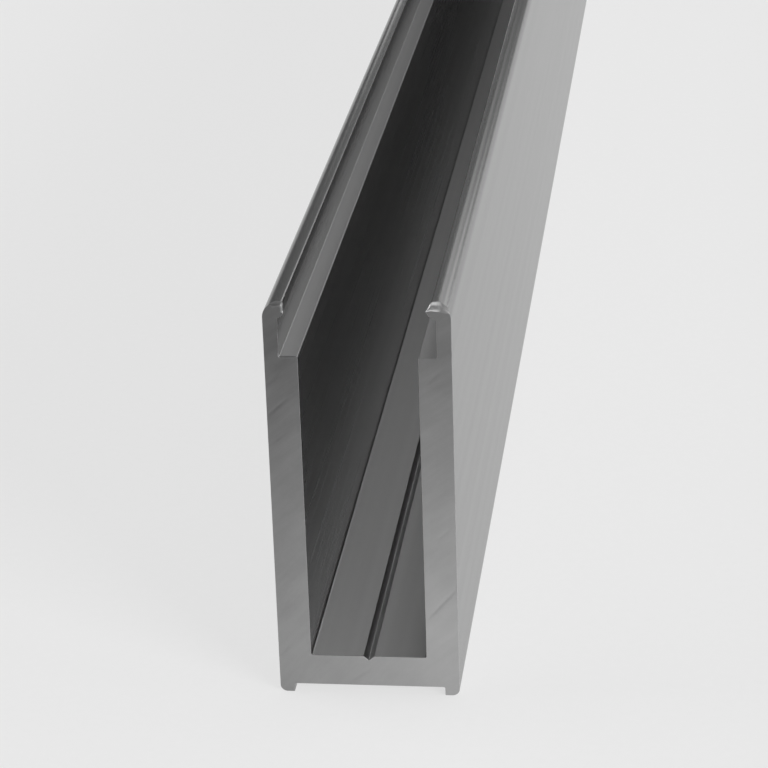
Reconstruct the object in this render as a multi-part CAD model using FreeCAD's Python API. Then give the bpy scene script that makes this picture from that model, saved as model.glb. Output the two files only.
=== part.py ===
import FreeCAD, Part
import math
import os

# Glazing channel: one length of extruded aluminium U section, lying on its web with the mouth up.
# Millimetres. +X across the section, +Y along the length, +Z up.
# The origin is under the middle of the length, at the level of the feet.

# Stock
stock_length = 1000.0
width = 20.0
height = 46.2

# Legs and web
leg_thickness = 3.6
web_thickness = 3.6
web_corner_fillet = 0.2

# Feet: two low rails under the outer corners, so that the web stands clear of the floor
foot_height = 1.0
foot_width = 1.6
foot_arris_radius = 0.1
foot_root_fillet = 0.2
outer_bottom_radius = 0.8

# Gasket rebate: each leg steps back to a thinner lip above an up-facing ledge
rebate_height = 6.1
lip_thickness = 1.6
lip_outer_radius = 1.7
ledge_arris_radius = 0.1
ledge_root_fillet = 0.1

# Nose: the bead at the top of each lip that holds the gasket down; its underside falls back to the lip
nose_projection = 0.55
nose_height = 1.35
nose_underside_drop = 0.5
nose_top_radius = 0.2
nose_lower_radius = 0.25
nose_root_fillet = 0.3

# Drill line: a shallow V along the middle of the web, which starts a drill where the channel is screwed down
drill_line_width = 1.2
drill_line_depth = 0.5
drill_line_shoulder_radius = 0.1
drill_line_root_radius = 0.15

# Levels above the floor
web_underside = foot_height
web_floor = foot_height + web_thickness
ledge_level = height - rebate_height
nose_underside = height - nose_height
nose_root_level = nose_underside - nose_underside_drop

# Distances from the middle plane
outer_face = width / 2
foot_inner_face = outer_face - foot_width
leg_inner_face = outer_face - leg_thickness
lip_inner_face = outer_face - lip_thickness
nose_tip = lip_inner_face - nose_projection

# Shorter than this, a straight run between two arcs is left out
shortest_run = 1e-4


def right_half():
    """Corners of the right half as (x, z, radius), from the web's underside round to the drill line."""
    return [
        (foot_inner_face, web_underside, foot_root_fillet),
        (foot_inner_face, 0.0, foot_arris_radius),
        (outer_face, 0.0, outer_bottom_radius),
        (outer_face, height, lip_outer_radius),
        (nose_tip, height, nose_top_radius),
        (nose_tip, nose_underside, nose_lower_radius),
        (lip_inner_face, nose_root_level, nose_root_fillet),
        (lip_inner_face, ledge_level, ledge_root_fillet),
        (leg_inner_face, ledge_level, ledge_arris_radius),
        (leg_inner_face, web_floor, web_corner_fillet),
        (drill_line_width / 2, web_floor, drill_line_shoulder_radius),
    ]


def section_corners():
    """Corners of the whole section, in order round its outline."""
    right = right_half()
    drill_line_root = (0.0, web_floor - drill_line_depth, drill_line_root_radius)
    left = [(-x, z, radius) for x, z, radius in reversed(right)]
    return right + [drill_line_root] + left


def turn_at(before, corner, after):
    """Angle by which the outline turns at a corner, in radians."""
    return (corner - before).getAngle(after - corner)


def rounded_outline(corners):
    """Closed wire through the corners, each one rounded by a tangent arc of its own radius."""
    points = [FreeCAD.Vector(x, 0.0, z) for x, z, radius in corners]
    count = len(points)
    turns = [turn_at(points[i - 1], points[i], points[(i + 1) % count]) for i in range(count)]
    trims = [corner[2] * math.tan(turn / 2) for corner, turn in zip(corners, turns)]

    # Two arcs that share a wall too short for both shrink together until they just meet
    runs = [(points[(i + 1) % count] - points[i]).Length for i in range(count)]
    shares = [min(1.0, runs[i] / (trims[i] + trims[(i + 1) % count])) for i in range(count)]
    trims = [trims[i] * min(shares[i - 1], shares[i]) for i in range(count)]

    edges = []
    arc_ends = []
    for i in range(count):
        back = (points[i - 1] - points[i]).normalize()
        ahead = (points[(i + 1) % count] - points[i]).normalize()
        start = points[i] + back * trims[i]
        end = points[i] + ahead * trims[i]
        radius = trims[i] / math.tan(turns[i] / 2)
        to_centre = (back + ahead).normalize()
        centre = points[i] + to_centre * math.hypot(radius, trims[i])
        arc_ends.append((start, centre - to_centre * radius, end))
    for i in range(count):
        start, middle, end = arc_ends[i]
        edges.append(Part.Arc(start, middle, end).toShape())
        next_start = arc_ends[(i + 1) % count][0]
        if end.distanceToPoint(next_start) > shortest_run:
            edges.append(Part.LineSegment(end, next_start).toShape())
    return Part.Wire(edges)


def u_channel():
    """The section, drawn out along Y and centred on the origin."""
    section = Part.Face(rounded_outline(section_corners()))
    section.translate(FreeCAD.Vector(0.0, -stock_length / 2, 0.0))
    return section.extrude(FreeCAD.Vector(0.0, stock_length, 0.0))


os.makedirs("parts", exist_ok=True)
u_channel().exportStep("parts/u_channel.step")
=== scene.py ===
import math

import bpy
from mathutils import Matrix, Quaternion, Vector, geometry, noise


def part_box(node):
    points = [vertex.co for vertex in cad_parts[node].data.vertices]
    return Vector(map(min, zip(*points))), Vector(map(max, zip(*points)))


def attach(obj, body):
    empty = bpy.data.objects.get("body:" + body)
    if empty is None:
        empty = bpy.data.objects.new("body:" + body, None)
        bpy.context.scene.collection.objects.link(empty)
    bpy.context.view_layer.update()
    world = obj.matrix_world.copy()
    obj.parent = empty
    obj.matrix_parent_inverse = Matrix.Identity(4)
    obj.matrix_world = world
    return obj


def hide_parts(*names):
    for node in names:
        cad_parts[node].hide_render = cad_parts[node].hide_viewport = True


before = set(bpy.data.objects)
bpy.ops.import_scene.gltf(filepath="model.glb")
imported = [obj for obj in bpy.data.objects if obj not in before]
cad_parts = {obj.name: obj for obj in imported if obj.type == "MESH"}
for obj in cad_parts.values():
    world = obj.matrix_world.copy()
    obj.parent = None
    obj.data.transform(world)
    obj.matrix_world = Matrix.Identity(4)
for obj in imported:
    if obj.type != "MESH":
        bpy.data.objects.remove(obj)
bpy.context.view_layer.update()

MM = 0.001

# Section of the channel, as in the CAD source. Its outer size comes from the CAD node.
LEG_THICKNESS = 3.6
WEB_THICKNESS = 3.6
WEB_CORNER_FILLET = 0.2
FOOT_HEIGHT = 1.0
FOOT_WIDTH = 1.6
FOOT_ARRIS_RADIUS = 0.1
FOOT_ROOT_FILLET = 0.2
OUTER_BOTTOM_RADIUS = 0.8
REBATE_HEIGHT = 6.1
LIP_THICKNESS = 1.6
LIP_OUTER_RADIUS = 1.7
LEDGE_ARRIS_RADIUS = 0.1
LEDGE_ROOT_FILLET = 0.1
NOSE_PROJECTION = 0.55
NOSE_HEIGHT = 1.35
NOSE_UNDERSIDE_DROP = 0.5
NOSE_TOP_RADIUS = 0.2
NOSE_LOWER_RADIUS = 0.25
NOSE_ROOT_FILLET = 0.3
DRILL_LINE_WIDTH = 1.2
DRILL_LINE_DEPTH = 0.5
DRILL_LINE_SHOULDER_RADIUS = 0.1
DRILL_LINE_ROOT_RADIUS = 0.15

# How finely the mesh follows the section. Straight runs above the heads' level get the shorter step.
ARC_SAGITTA = 0.0015
FEWEST_ARC_STEPS = 4
LONGEST_STEP = 0.5
HEAD_STEP = 0.1
HEAD_LEVEL = 44.0
CAP_GRID = 0.16
SAME_POINT = 1e-6
LENGTH_STEPS = 40

# Saw cut: a broken edge all round, and the arcs that the blade and its teeth left across it.
# A grain says how often a noise varies: in a millimetre, or in a radian round the blade.
EDGE_BREAK = 0.05
EDGE_BREAK_UNEVENNESS = 0.03
EDGE_BREAK_GRAIN = 0.9
EDGE_ROUNDING_STEPS = 6
BLADE_CENTRE = Vector((78.0, -72.0))
BLADE_ARC_PITCH = 1.6
BLADE_ARC_DEPTH = 0.012
BLADE_ARC_GRAIN = 6
TOOTH_PITCH = 0.45
TOOTH_DEPTH = 0.004
TOOTH_GRAIN = 9
TOOTH_SEED_SHIFT = 5
SLOPE_STEP = 0.05
NEAR_SEED, FAR_SEED = 1.0, 23.0

# Deeper marks where a tooth snagged: the mark's middle (x, z), length, slope in degrees and depth
SNAGS = [
    (Vector((8.4, 11.4)), 6.5, 49.0, 0.07),
    (Vector((8.7, 19.7)), 2.6, 43.0, 0.035),
    (Vector((8.0, 37.9)), 2.4, 45.0, 0.03),
    (Vector((-8.9, 34.3)), 4.2, 42.0, 0.06),
    (Vector((-9.1, 37.6)), 2.4, 42.0, 0.03),
    (Vector((-8.6, 30.9)), 2.6, 38.0, 0.03),
    (Vector((-1.1, 2.2)), 4.4, 34.0, 0.04),
    (Vector((-9.3, 5.1)), 3.4, 48.0, 0.035),
]
SNAG_WIDTH = 0.22
SNAG_WIDTHS_FELT = 3

# Where a file broke the edge further: middle of the spot (x, z), its reach and the width of the edge there.
# The width is full over the inner half of the reach.
FILED_SPOTS = [
    (Vector((-8.2, 45.9)), 1.1, 0.5),
    (Vector((-7.6, 40.1)), 1.2, 0.2),
]
FILED_UNEVENNESS = 4

# Near the right head's middle, and its mirror on the left, the broken edge runs in towards that middle
HEAD_MIDDLE = Vector((8.9, 44.9))
HEAD_REACH = 2.4
HEAD_PULL = 3

# The file took the right lip's head down to a level that falls outwards
FILED_LEVEL = 45.3
FILED_FALL = 0.2
FILED_NARROWING = 0.3
FILED_BLEND = 0.15

# Burr that the saw pushed into the mouth and down: its middle (x, z) and how far it stands out
BURRS = [
    (Vector((7.85, 45.5)), 0.5),
    (Vector((-7.85, 45.5)), 0.25),
]
BURR_REACH = 1.2
BURR_DROP = 0.4
BURR_LENGTH = 1.3
BURR_RINGS = 8
BURR_UNEVENNESS = 0.4
BURR_GRAIN = (1.3, 1.7, 1.5)
LEAST_BURR = 0.004

# The three finishes, in the order of the channel's material slots
MILL_FINISH, SAWN_FACE, BROKEN_EDGE = 0, 1, 2

# Given instead of a normal where the mesh's own shape sets it
SHAPE_NORMAL = Vector((0.0, 0.0, 0.0))

# Noises of the finishes: how fine they are in a metre, their detail and, if not a half, their roughness
BROAD_LINES = (420.0, 3.0)
FINE_LINES = (3200.0, 4.0, 0.6)
MILL_CLOUDS = (45.0, 4.0)
ARC_LINES = (900.0, 4.0, 0.65)
SPECKS = (2500.0, 3.0)
SAWN_CLOUDS = (180.0, 3.0)
SCRATCHES = (4000.0, 3.0)
BRIGHT_SPECKS = (1500.0, 3.0)
FLOOR_GRAIN = (900.0, 4.0)

# Bumps of the finishes: strength, and the height that a noise's 1 stands for
MILL_BUMP = (0.08, 0.01)
SAWN_BUMP = (0.2, 0.02)
EDGE_BUMP = (0.3, 0.02)
FINE_LINE_HEIGHT = 0.3
SPECK_HEIGHT = 0.3

# Mill finish: how the noises are scaled by axis, and the ranges that they give
DRAWN_OUT = (1.0, 0.003, 1.0)
CLOUD_STRETCH = (1.0, 0.35, 1.0)
MILL_SHADE = (0.51, 0.56)
MILL_CLOUDINESS = (-0.012, 0.012)
MILL_ROUGHNESS = (0.21, 0.23)
MILL_ROUGHNESS_CLOUDINESS = (-0.005, 0.005)
MILL_GRAZING_SHADE = (0.58, 0.58, 0.58, 1.0)
MILL_ANISOTROPY = 0.5
QUARTER_TURN = 0.25

# The inside of the channel is duller than its outside, most of all on the faces that look up,
# which also get painted light from above as a lighter grey.
# The ranges are those of a normal's part over which a face comes to count as upright or as looking up.
INNER_REACH = 9.0
INNER_ROUGHNESS = 0.06
UPRIGHT_RANGE = (0.97, 0.995)
SHELTERED_BELOW = 42.0
SHELTERED_ROUGHNESS = 0.12
PAINTED_UPWARD_LIGHT = 0.08
UPWARD_RANGE = (0.4, 0.7)

# Sawn face: painted shade, whose grey falls from the foot's to the top's between two levels,
# and is only a share of that at its left side. The marks are drawn out along the blade's arcs.
PAINTED_LIGHT_AT_FOOT, PAINTED_SHADE_AT_TOP = 0.44, 0.2
PAINTED_SHADE_HEIGHTS = (8.0, 42.0)
LEFT_PAINTED_SHADE_SHARE = 0.75
PAINTED_SHADE_LEFT_TO_RIGHT = (-9.0, 7.0)
ARC_STRETCH = 0.015
MARK_SHADE = (-0.012, 0.012)
SAWN_CLOUDINESS = (-0.015, 0.015)
SAWN_ROUGHNESS = (0.47, 0.43)
SPECK_ROUGHNESS = (-0.03, 0.03)

# Broken edge: scratched and dull, with the sawn face's painted shade, lifted at the top.
# At the tip of the right nose it is smoother and carries a painted highlight.
EDGE_TOP_PAINTED_LIFT = 0.08
EDGE_ROUGHNESS = (0.5, 0.6)
BRIGHT_TIP = Vector((7.85, 45.75))
BRIGHT_REACH = (0.6, 1.2)
BRIGHT_UNEVENNESS = 0.2
PAINTED_HIGHLIGHT_SHADE = (0.4, 0.5)
BRIGHT_SMOOTHING = 0.2

# Floor, in metres. The evening is the share of it that shows one shade, without light and shadow.
FLOOR_HALF_WIDTH = 15.0
FLOOR_SHADE = (0.84, 0.87)
FLOOR_ROUGHNESS = 0.9
FLOOR_SPECULAR = 0.1
FLOOR_EVENING = 0.75
FLOOR_GLOW = (0.85, 0.85, 0.85, 1.0)

# Lamps, in metres: name, place, the point it faces, width and height, and brightness.
# The brightness is how bright a lamp's surface looks, where 1 is white.
LAMPS = [
    ("overhead_lamp", (0.0, 0.0, 1.6), (0.0, 0.0, 0.0), (1.8, 1.8), 0.6),
    ("overhead_right_lamp", (1.2, 0.4, 1.5), (0.0, 0.0, 0.0), (1.0, 1.0), 0.55),
    ("back_high_lamp", (0.2, 1.6, 1.45), (0.2, 0.0, 1.45), (0.4, 0.5), 2.35),
    ("back_lamp", (0.36, 1.6, 0.925), (0.36, 0.0, 0.925), (0.48, 0.55), 0.48),
    ("back_mid_lamp", (1.05, 1.6, 0.775), (1.05, 0.0, 0.775), (0.9, 0.85), 0.73),
    ("back_left_lamp", (-0.3, 1.6, 0.25), (-0.3, 0.0, 0.25), (0.4, 0.36), 1.4),
    ("back_right_lamp", (1.2, 1.6, 0.7), (1.2, 0.0, 0.7), (0.6, 1.0), 2.8),
    ("right_lamp", (1.5, 0.0, 0.55), (0.0, 0.0, 0.55), (1.4, 0.9), 2.7),
    ("left_lamp", (-1.5, 0.0, 0.55), (0.0, 0.0, 0.55), (1.4, 0.9), 4.6),
    ("front_lamp", (1.5, -1.8, 0.6), (0.0, -0.5, 0.0), (1.0, 1.0), 11.2),
]
ROOM_SHADE = (0.16, 0.16, 0.16, 1.0)

# Camera, as solved from the photograph's vanishing points. Its place and its clips are in metres.
CAMERA_PLACE = Vector((0.037165, -0.770866, 0.149103))
CAMERA_HEADING = Vector((-0.116723, 0.917823, -0.379442))
CAMERA_ROLL_DEGREES = -1.931
CAMERA_LENS = 130.826
CAMERA_SENSOR = 36.0
CAMERA_CLIPS = (0.01, 100.0)


def section_corners(width, height):
    """Corners of the section as (x, z, radius), round it once, from the right foot's root."""
    outer_face = width / 2
    leg_inner_face = outer_face - LEG_THICKNESS
    lip_inner_face = outer_face - LIP_THICKNESS
    foot_inner_face = outer_face - FOOT_WIDTH
    nose_tip = lip_inner_face - NOSE_PROJECTION
    web_floor = FOOT_HEIGHT + WEB_THICKNESS
    ledge = height - REBATE_HEIGHT
    nose_underside = height - NOSE_HEIGHT
    nose_root = nose_underside - NOSE_UNDERSIDE_DROP
    right = [
        (foot_inner_face, FOOT_HEIGHT, FOOT_ROOT_FILLET),
        (foot_inner_face, 0.0, FOOT_ARRIS_RADIUS),
        (outer_face, 0.0, OUTER_BOTTOM_RADIUS),
        (outer_face, height, LIP_OUTER_RADIUS),
        (nose_tip, height, NOSE_TOP_RADIUS),
        (nose_tip, nose_underside, NOSE_LOWER_RADIUS),
        (lip_inner_face, nose_root, NOSE_ROOT_FILLET),
        (lip_inner_face, ledge, LEDGE_ROOT_FILLET),
        (leg_inner_face, ledge, LEDGE_ARRIS_RADIUS),
        (leg_inner_face, web_floor, WEB_CORNER_FILLET),
        (DRILL_LINE_WIDTH / 2, web_floor, DRILL_LINE_SHOULDER_RADIUS),
    ]
    root = (0.0, web_floor - DRILL_LINE_DEPTH, DRILL_LINE_ROOT_RADIUS)
    left = [(-x, z, radius) for x, z, radius in reversed(right)]
    return right + [root] + left


def outward(heading):
    """Outward normal of a run with this heading; the material lies to the left of it."""
    return Vector((heading.y, -heading.x))


def fillets(corners):
    """For each corner: its place, the headings before and after it, and what its arc takes off each run."""
    count = len(corners)
    places = [Vector((x, z)) for x, z, _ in corners]
    headings = [(places[(i + 1) % count] - places[i]).normalized() for i in range(count)]
    runs = [(places[(i + 1) % count] - places[i]).length for i in range(count)]
    trims = []
    for i in range(count):
        turn = headings[i - 1].angle(headings[i])
        trims.append(corners[i][2] * math.tan(turn / 2))
    # Two arcs that share a wall too short for both shrink together until they just meet
    shares = [min(1.0, runs[i] / (trims[i] + trims[(i + 1) % count])) for i in range(count)]
    trims = [trims[i] * min(shares[i - 1], shares[i]) for i in range(count)]
    return [(places[i], headings[i - 1], headings[i], trims[i]) for i in range(count)]


def arc_points(place, before, after, trim):
    """Points and outward normals round one corner's arc, both ends included."""
    turn = math.atan2(before.cross(after), before.dot(after))
    radius = trim / math.tan(abs(turn) / 2)
    side = math.copysign(1.0, turn)
    centre = place - before * trim - outward(before) * side * radius
    widest = 2 * math.acos(max(0.0, 1 - ARC_SAGITTA / radius))
    steps = max(FEWEST_ARC_STEPS, math.ceil(abs(turn) / widest))
    points = []
    for step in range(steps + 1):
        heading = before.copy()
        heading.rotate(Matrix.Rotation(turn * step / steps, 2))
        normal = outward(heading)
        points.append((centre + normal * side * radius, normal))
    return points


def outline(corners):
    """The section's outline as (point, outward normal) pairs, in order round it."""
    arcs = [arc_points(*fillet) for fillet in fillets(corners)]
    points = []
    for i, arc in enumerate(arcs):
        points += arc
        start, normal = arc[-1]
        end = arcs[(i + 1) % len(arcs)][0][0]
        longest = HEAD_STEP if min(start.y, end.y) > HEAD_LEVEL else LONGEST_STEP
        steps = math.ceil((end - start).length / longest)
        points += [(start.lerp(end, step / steps), normal) for step in range(1, steps)]
    return points


def nearness(place, middle, reach):
    """1 at a middle, falling to 0 at that reach from it."""
    return max(0.0, 1 - (place - middle).length / reach)


def smooth(share):
    """A share from 0 to 1, eased at both ends."""
    share = min(1.0, max(0.0, share))
    return share * share * (3 - 2 * share)


def edge_break(point, seed):
    """Width of the broken edge at a point of the outline."""
    spot = Vector((point.x * EDGE_BREAK_GRAIN, point.y * EDGE_BREAK_GRAIN, seed))
    uneven = EDGE_BREAK_UNEVENNESS * noise.noise(spot)
    filed = max(width * smooth(2 * nearness(point, middle, reach)) for middle, reach, width in FILED_SPOTS)
    return max(EDGE_BREAK, filed) + uneven * (1 + FILED_UNEVENNESS * filed)


def inward(point, normal):
    """Direction in which the broken edge eats into the section: against the normal, or towards a head."""
    middle = Vector((math.copysign(HEAD_MIDDLE.x, point.x), HEAD_MIDDLE.y))
    share = min(1.0, HEAD_PULL * nearness(point, middle, HEAD_REACH))
    return (-normal).lerp((middle - point).normalized(), share).normalized()


def eaten(point, normal, seed):
    """How far the broken edge eats into the section at a point of the outline, as a vector."""
    broken = inward(point, normal) * edge_break(point, seed)
    above = point.y - FILED_LEVEL + FILED_FALL * (point.x - HEAD_MIDDLE.x)
    if point.x < 0 or above <= 0:
        return broken
    flat = Vector(((HEAD_MIDDLE.x - point.x) * FILED_NARROWING, -1.0)) * above
    return broken.lerp(flat, smooth(above / FILED_BLEND))


def burr(point, depth, seed):
    """How far the burr moves a point of the outline at a depth from the sawn end."""
    fade = max(0.0, 1 - depth / BURR_LENGTH) ** 2
    across, up, along = BURR_GRAIN
    spot = Vector((point.x * across, point.y * up, depth * along + seed))
    uneven = 1 + BURR_UNEVENNESS * noise.noise(spot)
    near = sum(push * smooth(nearness(point, middle, BURR_REACH)) for middle, push in BURRS)
    push = near * fade * uneven
    return Vector((-math.copysign(push, point.x), -push * BURR_DROP))


def snag_relief(place):
    """Depth that the snagged teeth's marks add at a place on the sawn face."""
    total = 0.0
    for middle, length, slope, depth in SNAGS:
        heading = Vector((math.cos(math.radians(slope)), math.sin(math.radians(slope))))
        along = 2 * heading.dot(place - middle) / length
        across = heading.cross(place - middle) / SNAG_WIDTH
        if abs(along) < 1 and abs(across) < SNAG_WIDTHS_FELT:
            total += depth * math.exp(-across * across) * (1 - along * along)
    return total


def saw_relief(x, z, seed):
    """How deep the sawn face lies under its plane at a point."""
    place = Vector((x, z))
    offset = place - BLADE_CENTRE
    reach = offset.length
    along = math.atan2(offset.y, offset.x)
    arcs = noise.noise(Vector((reach / BLADE_ARC_PITCH, along * BLADE_ARC_GRAIN, seed)))
    teeth = noise.noise(Vector((reach / TOOTH_PITCH, along * TOOTH_GRAIN, seed + TOOTH_SEED_SHIFT)))
    marks = BLADE_ARC_DEPTH * (0.5 + 0.5 * arcs) + TOOTH_DEPTH * (0.5 + 0.5 * teeth)
    return marks + snag_relief(place)


def relief_slopes(x, z, seed):
    """How steeply the sawn face deepens at a point, along x and along z."""
    rise_x = saw_relief(x + SLOPE_STEP, z, seed) - saw_relief(x - SLOPE_STEP, z, seed)
    rise_z = saw_relief(x, z + SLOPE_STEP, seed) - saw_relief(x, z - SLOPE_STEP, seed)
    return rise_x / (2 * SLOPE_STEP), rise_z / (2 * SLOPE_STEP)


class ChannelMesh:
    """Vertices, faces and exact normals of the channel, gathered before Blender's mesh is made."""

    def __init__(self):
        self.vertices = []
        self.normals = []
        self.faces = []
        self.materials = []

    def add(self, place, normal):
        self.vertices.append(place)
        self.normals.append(normal.normalized())
        return len(self.vertices) - 1

    def face(self, corners, material):
        self.faces.append(corners)
        self.materials.append(material)


def at_depth(point, end_y, facing, depth):
    """Place in metres of a point of the section at a depth from a sawn end. facing is -1 or 1 along Y."""
    return Vector((point.x * MM, end_y - facing * depth * MM, point.y * MM))


def rim_rings(mesh, points, end_y, facing, seed):
    """Rings of the rounded edge at one end, from the sawn face outwards."""
    rings = []
    for step in range(EDGE_ROUNDING_STEPS + 1):
        angle = math.pi / 2 * step / EDGE_ROUNDING_STEPS
        ring = []
        for point, normal in points:
            inset = eaten(point, normal, seed)
            depth = inset.length * (1 - math.cos(angle))
            moved = burr(point, depth, seed)
            side = point + moved + inset * (1 - math.sin(angle))
            out = (-inset).normalized().lerp(normal, step / EDGE_ROUNDING_STEPS)
            tilt = Vector((out.x * math.sin(angle), facing * math.cos(angle), out.y * math.sin(angle)))
            if step == 0:
                depth = saw_relief(side.x, side.y, seed)
            elif moved.length > LEAST_BURR:
                tilt = SHAPE_NORMAL
            ring.append(mesh.add(at_depth(side, end_y, facing, depth), tilt))
        rings.append(ring)
    return rings


def burr_rings(mesh, points, end_y, facing, seed):
    """Rings behind one end's rounded edge, over which the burr fades into the extruded section."""
    rings = []
    for step in range(1, BURR_RINGS + 1):
        ring = []
        for point, normal in points:
            start = eaten(point, normal, seed).length
            depth = start + (BURR_LENGTH - start) * step / BURR_RINGS
            moved = burr(point, depth, seed)
            drawn = Vector((normal.x, 0.0, normal.y))
            tilt = SHAPE_NORMAL if moved.length > LEAST_BURR else drawn
            ring.append(mesh.add(at_depth(point + moved, end_y, facing, depth), tilt))
        rings.append(ring)
    return rings


def plain_ring(mesh, points, y):
    """Ring of the extruded section at a place along the length."""
    return [mesh.add(Vector((p.x * MM, y, p.y * MM)), Vector((n.x, 0.0, n.y))) for p, n in points]


def join_rings(mesh, near, far, material):
    """Quads between two rings; near lies on the -Y side of far."""
    count = len(near)
    for i in range(count):
        j = (i + 1) % count
        mesh.face((near[i], far[i], far[j], near[j]), material)


def staggered_grid(border):
    """Points of a grid over a border's box, with every other row shifted by half a step."""
    low_x = min(p.x for p in border)
    high_x = max(p.x for p in border)
    low_z = min(p.y for p in border)
    high_z = max(p.y for p in border)
    rows = math.ceil((high_z - low_z) / CAP_GRID)
    columns = math.ceil((high_x - low_x) / CAP_GRID)
    grid = []
    for row in range(rows + 1):
        shift = CAP_GRID / 2 * (row % 2)
        for column in range(columns + 1):
            grid.append(Vector((low_x + shift + column * CAP_GRID, low_z + row * CAP_GRID)))
    return grid


def cap(mesh, rim, end_y, facing, seed):
    """Sawn face inside a rim, as a fine grid that carries the blade's marks."""
    border = [Vector((mesh.vertices[i].x / MM, mesh.vertices[i].z / MM)) for i in rim]
    count = len(border)
    inside_only = 1
    points = border + staggered_grid(border)
    net = geometry.delaunay_2d_cdt(points, [], [list(range(count))], inside_only, SAME_POINT)
    places, _, faces, origins = net[:4]
    index = {}
    for i in sorted({i for face in faces for i in face}):
        source = origins[i][0] if origins[i] else count
        if source < count:
            index[i] = rim[source]
            continue
        x, z = places[i]
        slope_x, slope_z = relief_slopes(x, z, seed)
        place = at_depth(places[i], end_y, facing, saw_relief(x, z, seed))
        index[i] = mesh.add(place, Vector((slope_x, facing, slope_z)))
    for a, b, c in faces:
        corners = (index[a], index[b], index[c])
        mesh.face(corners if facing < 0 else corners[::-1], SAWN_FACE)


def channel_mesh(width, height, near_y, far_y):
    """The channel's vertices and faces: rings along the length, and a cap on each end."""
    mesh = ChannelMesh()
    points = outline(section_corners(width, height))
    near_rim = rim_rings(mesh, points, near_y, -1, NEAR_SEED)
    far_rim = rim_rings(mesh, points, far_y, 1, FAR_SEED)
    rings = near_rim + burr_rings(mesh, points, near_y, -1, NEAR_SEED)
    for step in range(1, LENGTH_STEPS):
        rings.append(plain_ring(mesh, points, near_y + (far_y - near_y) * step / LENGTH_STEPS))
    rings += burr_rings(mesh, points, far_y, 1, FAR_SEED)[::-1] + far_rim[::-1]
    joins = len(rings) - 1
    for i in range(joins):
        on_edge = min(i, joins - 1 - i) < EDGE_ROUNDING_STEPS
        join_rings(mesh, rings[i], rings[i + 1], BROKEN_EDGE if on_edge else MILL_FINISH)
    cap(mesh, near_rim[0], near_y, -1, NEAR_SEED)
    cap(mesh, far_rim[0], far_y, 1, FAR_SEED)
    return mesh


def channel_object(name, mesh):
    """Blender's object of a gathered mesh."""
    data = bpy.data.meshes.new(name)
    data.from_pydata(mesh.vertices, [], mesh.faces)
    data.polygons.foreach_set("material_index", mesh.materials)
    data.polygons.foreach_set("use_smooth", [True] * len(mesh.faces))
    data.normals_split_custom_set_from_vertices(mesh.normals)
    piece = bpy.data.objects.new(name, data)
    bpy.context.scene.collection.objects.link(piece)
    return piece


def new_material(name):
    """A material with its node tree and its main shader."""
    material = bpy.data.materials.new(name)
    material.use_nodes = True
    tree = material.node_tree
    return material, tree, tree.nodes["Principled BSDF"]


def add_node(tree, kind, values=(), **settings):
    """A node of that kind. values are (socket, number or other socket) pairs, settings its own options."""
    node = tree.nodes.new(kind)
    for option, value in settings.items():
        setattr(node, option, value)
    for socket, value in values:
        if isinstance(value, bpy.types.NodeSocket):
            tree.links.new(value, node.inputs[socket])
        else:
            node.inputs[socket].default_value = value
    return node


def object_place(tree):
    """Place on the object, in metres."""
    return add_node(tree, "ShaderNodeTexCoord").outputs["Object"]


def stretched_place(tree, scale):
    """Place on the object, scaled by axis."""
    values = [("Vector", object_place(tree)), ("Scale", scale)]
    return add_node(tree, "ShaderNodeMapping", values).outputs["Vector"]


def grain(tree, vector, scale, detail, roughness=0.5):
    """Noise from 0 to 1."""
    values = [("Vector", vector), ("Scale", scale), ("Detail", detail), ("Roughness", roughness)]
    return add_node(tree, "ShaderNodeTexNoise", values).outputs["Fac"]


def spread(tree, value, low, high, start=0.3, end=0.7):
    """Maps start to end, which is a noise's usual range, onto low to high, and stops there."""
    values = [("Value", value), ("From Min", start), ("From Max", end), ("To Min", low), ("To Max", high)]
    return add_node(tree, "ShaderNodeMapRange", values).outputs["Result"]


def combine(tree, operation, first, second):
    """Math on two values."""
    return add_node(tree, "ShaderNodeMath", [(0, first), (1, second)], operation=operation).outputs["Value"]


def plus(tree, *values):
    """Sum of several values."""
    total = values[0]
    for value in values[1:]:
        total = combine(tree, "ADD", total, value)
    return total


def times(tree, first, second):
    """Product of two values."""
    return combine(tree, "MULTIPLY", first, second)


def unsigned(tree, value):
    """A value without its sign."""
    return add_node(tree, "ShaderNodeMath", [(0, value)], operation="ABSOLUTE").outputs["Value"]


def part(tree, vector, axis):
    """One part of a vector: X, Y or Z."""
    return add_node(tree, "ShaderNodeSeparateXYZ", [("Vector", vector)]).outputs[axis]


def grey(tree, shader, shade):
    """Sets a shader's base colour to a grey of that shade."""
    tint = add_node(tree, "ShaderNodeCombineColor", [("Red", shade), ("Green", shade), ("Blue", shade)])
    tree.links.new(tint.outputs["Color"], shader.inputs["Base Color"])


def bump(tree, shader, height, strength, depth):
    """Sets a shader's normal from a height. depth is what a height of 1 stands for."""
    values = [("Strength", strength), ("Distance", depth * MM), ("Height", height)]
    node = add_node(tree, "ShaderNodeBump", values)
    tree.links.new(node.outputs["Normal"], shader.inputs["Normal"])


def inner_walls(tree, place, facing):
    """1 on the upright faces inside the channel and 0 elsewhere."""
    upright = spread(tree, unsigned(tree, part(tree, facing, "X")), 0.0, 1.0, *UPRIGHT_RANGE)
    sideways = unsigned(tree, part(tree, place, "X"))
    return times(tree, upright, combine(tree, "LESS_THAN", sideways, INNER_REACH * MM))


def sheltered_floors(tree, place, facing):
    """1 on the faces that look up inside the channel, the web's and the ledges', and 0 elsewhere."""
    upward = spread(tree, part(tree, facing, "Z"), 0.0, 1.0, *UPWARD_RANGE)
    below = combine(tree, "LESS_THAN", part(tree, place, "Z"), SHELTERED_BELOW * MM)
    return times(tree, upward, below)


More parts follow.
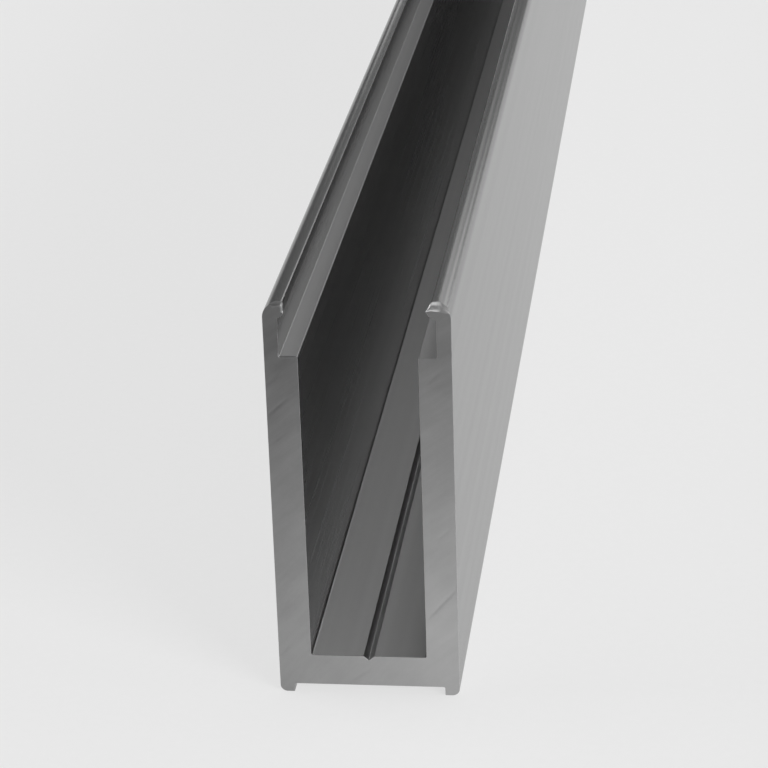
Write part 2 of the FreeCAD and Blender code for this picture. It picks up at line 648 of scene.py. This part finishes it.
def mill_finish():
    """Extruded aluminium: lines drawn along the length by the die, over a slightly cloudy grey."""
    material, tree, shader = new_material("mill_aluminium")
    drawn = stretched_place(tree, DRAWN_OUT)
    broad = grain(tree, drawn, *BROAD_LINES)
    fine = grain(tree, drawn, *FINE_LINES)
    cloud = grain(tree, stretched_place(tree, CLOUD_STRETCH), *MILL_CLOUDS)
    place = object_place(tree)
    facing = add_node(tree, "ShaderNodeNewGeometry").outputs["Normal"]
    walls = inner_walls(tree, place, facing)
    floors = sheltered_floors(tree, place, facing)

    clean_shade = plus(tree, spread(tree, broad, *MILL_SHADE), spread(tree, cloud, *MILL_CLOUDINESS))
    # Faces that look up inside the channel get a lighter grey: painted light from above
    grey(tree, shader, plus(tree, clean_shade, times(tree, floors, PAINTED_UPWARD_LIGHT)))
    line_roughness = spread(tree, fine, *MILL_ROUGHNESS)
    cloud_roughness = spread(tree, cloud, *MILL_ROUGHNESS_CLOUDINESS)
    wall_roughness = times(tree, walls, INNER_ROUGHNESS)
    floor_roughness = times(tree, floors, SHELTERED_ROUGHNESS)
    rough = plus(tree, line_roughness, cloud_roughness, wall_roughness, floor_roughness)
    tree.links.new(rough, shader.inputs["Roughness"])
    bump(tree, shader, plus(tree, times(tree, fine, FINE_LINE_HEIGHT), broad), *MILL_BUMP)

    # The highlights spread across the die's lines, which run along Y
    lengthwise = add_node(tree, "ShaderNodeCombineXYZ", [("Y", 1.0)])
    tree.links.new(lengthwise.outputs["Vector"], shader.inputs["Tangent"])
    shader.inputs["Anisotropic"].default_value = MILL_ANISOTROPY
    shader.inputs["Anisotropic Rotation"].default_value = QUARTER_TURN
    shader.inputs["Metallic"].default_value = 1.0
    shader.inputs["Specular Tint"].default_value = MILL_GRAZING_SHADE
    return material


def blade_arcs(tree, place):
    """Noise drawn out along the saw blade's arcs, from 0 to 1."""
    across = combine(tree, "SUBTRACT", part(tree, place, "X"), BLADE_CENTRE.x * MM)
    up = combine(tree, "SUBTRACT", part(tree, place, "Z"), BLADE_CENTRE.y * MM)
    offset = add_node(tree, "ShaderNodeCombineXYZ", [("X", across), ("Y", up)])
    reach = add_node(tree, "ShaderNodeVectorMath", [(0, offset.outputs["Vector"])], operation="LENGTH")
    along = times(tree, combine(tree, "ARCTAN2", up, across), ARC_STRETCH)
    arc = add_node(tree, "ShaderNodeCombineXYZ", [("X", reach.outputs["Value"]), ("Y", along)])
    return grain(tree, arc.outputs["Vector"], *ARC_LINES)


def tip_highlight_and_smoothing(tree, place):
    """1 at the right nose's filed tip, which is smoother and has a painted highlight, and 0 away from it.
    """
    values = [("X", part(tree, place, "X")), ("Y", part(tree, place, "Z"))]
    spot = add_node(tree, "ShaderNodeCombineXYZ", values).outputs["Vector"]
    tip = (BRIGHT_TIP.x * MM, BRIGHT_TIP.y * MM, 0.0)
    gap = add_node(tree, "ShaderNodeVectorMath", [(0, spot), (1, tip)], operation="DISTANCE")
    shift = BRIGHT_UNEVENNESS * MM
    uneven = spread(tree, grain(tree, place, *BRIGHT_SPECKS), -shift, shift)
    full, none = BRIGHT_REACH
    return spread(tree, plus(tree, gap.outputs["Value"], uneven), 1.0, 0.0, full * MM, none * MM)


def painted_face_shade(tree, place, foot, top):
    """Painted shade: goes from foot to top up the sawn face, and is lower at its left side."""
    low, high = PAINTED_SHADE_HEIGHTS
    left, right = PAINTED_SHADE_LEFT_TO_RIGHT
    painted_shade = spread(tree, part(tree, place, "Z"), foot, top, low * MM, high * MM)
    return times(tree, painted_shade, spread(tree, part(tree, place, "X"), LEFT_PAINTED_SHADE_SHARE, 1.0, left * MM, right * MM))


def sawn_face():
    """The sawn end: arcs of the blade's teeth, over painted shade that is light at the foot, dark near the
    lips.
    """
    material, tree, shader = new_material("sawn_aluminium")
    place = object_place(tree)
    marks = blade_arcs(tree, place)
    speck = grain(tree, place, *SPECKS)
    cloud = grain(tree, place, *SAWN_CLOUDS)
    # Painted shade: lighter at the foot, darker towards the lips and at the left side
    painted_shade = painted_face_shade(tree, place, PAINTED_LIGHT_AT_FOOT, PAINTED_SHADE_AT_TOP)
    mark_shade = spread(tree, marks, *MARK_SHADE)
    cloud_shade = spread(tree, cloud, *SAWN_CLOUDINESS)
    grey(tree, shader, plus(tree, painted_shade, mark_shade, cloud_shade))
    rough = plus(tree, spread(tree, marks, *SAWN_ROUGHNESS), spread(tree, speck, *SPECK_ROUGHNESS))
    tree.links.new(rough, shader.inputs["Roughness"])
    bump(tree, shader, plus(tree, marks, times(tree, speck, SPECK_HEIGHT)), *SAWN_BUMP)
    shader.inputs["Metallic"].default_value = 1.0
    return material


def broken_edge():
    """The saw cut's rounded rim: dull, with painted shade; one nose's tip is smoother, with a painted
    highlight.
    """
    material, tree, shader = new_material("filed_aluminium")
    place = object_place(tree)
    scratch = grain(tree, place, *SCRATCHES)
    tip_mask = tip_highlight_and_smoothing(tree, place)
    # Painted highlight on the tip of the right nose
    painted_highlight = times(tree, tip_mask, spread(tree, scratch, *PAINTED_HIGHLIGHT_SHADE))
    # Painted shade from foot to top as on the sawn face, lifted at the top
    grey(tree, shader, plus(tree, painted_face_shade(tree, place, PAINTED_LIGHT_AT_FOOT, PAINTED_SHADE_AT_TOP + EDGE_TOP_PAINTED_LIFT), painted_highlight))
    smoothing = times(tree, tip_mask, BRIGHT_SMOOTHING)
    rough = combine(tree, "SUBTRACT", spread(tree, scratch, *EDGE_ROUGHNESS), smoothing)
    tree.links.new(rough, shader.inputs["Roughness"])
    bump(tree, shader, scratch, *EDGE_BUMP)
    shader.inputs["Metallic"].default_value = 1.0
    return material


def lift_floor(tree, shader):
    """Evens out the floor that the camera or a reflection sees. Part of it still shows light and shadow."""
    ray = add_node(tree, "ShaderNodeLightPath")
    kinds = ("Is Camera Ray", "Is Glossy Ray", "Is Transmission Ray")
    seen = plus(tree, *[ray.outputs[kind] for kind in kinds])
    share = times(tree, combine(tree, "MINIMUM", seen, 1.0), FLOOR_EVENING)
    glow = add_node(tree, "ShaderNodeEmission", [("Color", FLOOR_GLOW), ("Strength", 1.0)])
    values = [("Fac", share), (1, shader.outputs["BSDF"]), (2, glow.outputs["Emission"])]
    mixed = add_node(tree, "ShaderNodeMixShader", values)
    tree.links.new(mixed.outputs["Shader"], tree.nodes["Material Output"].inputs["Surface"])


def floor_finish():
    """Pale matt paper with a very fine grain."""
    material, tree, shader = new_material("floor_paper")
    grey(tree, shader, spread(tree, grain(tree, object_place(tree), *FLOOR_GRAIN), *FLOOR_SHADE))
    shader.inputs["Roughness"].default_value = FLOOR_ROUGHNESS
    shader.inputs["Specular IOR Level"].default_value = FLOOR_SPECULAR
    lift_floor(tree, shader)
    return material


def floor_object():
    """A pale floor that reaches past every view."""
    half = FLOOR_HALF_WIDTH
    corners = [(-half, -half, 0), (half, -half, 0), (half, half, 0), (-half, half, 0)]
    data = bpy.data.meshes.new("floor")
    data.from_pydata(corners, [], [(0, 1, 2, 3)])
    data.materials.append(floor_finish())
    floor = bpy.data.objects.new("floor", data)
    bpy.context.scene.collection.objects.link(floor)


def softbox(name, place, aim, size, brightness):
    """A soft rectangular lamp that faces a point and that the camera doesn't see."""
    data = bpy.data.lights.new(name, "AREA")
    data.shape = "RECTANGLE"
    data.size, data.size_y = size
    data.energy = brightness * math.pi * size[0] * size[1]
    lamp = bpy.data.objects.new(name, data)
    lamp.location = place
    lamp.rotation_mode = "QUATERNION"
    lamp.rotation_quaternion = (Vector(aim) - Vector(place)).to_track_quat("-Z", "Y")
    lamp.visible_camera = False
    bpy.context.scene.collection.objects.link(lamp)


def studio():
    """Lamps and the dim room around them."""
    for lamp in LAMPS:
        softbox(*lamp)
    world = bpy.data.worlds.new("room")
    bpy.context.scene.world = world
    world.use_nodes = True
    world.node_tree.nodes["Background"].inputs["Color"].default_value = ROOM_SHADE


def camera():
    """Camera at the photograph's place and angle."""
    data = bpy.data.cameras.new("camera")
    data.lens = CAMERA_LENS
    data.sensor_width = CAMERA_SENSOR
    data.clip_start, data.clip_end = CAMERA_CLIPS
    view = bpy.data.objects.new("camera", data)
    view.location = CAMERA_PLACE
    view.rotation_mode = "QUATERNION"
    roll = Quaternion((0.0, 0.0, 1.0), math.radians(CAMERA_ROLL_DEGREES))
    view.rotation_quaternion = CAMERA_HEADING.to_track_quat("-Z", "Y") @ roll
    bpy.context.scene.collection.objects.link(view)
    bpy.context.scene.camera = view


low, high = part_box("u_channel")
width = (high.x - low.x) / MM
channel = channel_object("glazing_channel", channel_mesh(width, high.z / MM, low.y, high.y))
for finish in (mill_finish, sawn_face, broken_edge):
    channel.data.materials.append(finish())
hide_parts("u_channel")
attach(channel, "root")

floor_object()
studio()
camera()
bpy.context.scene.view_settings.view_transform = "Standard"
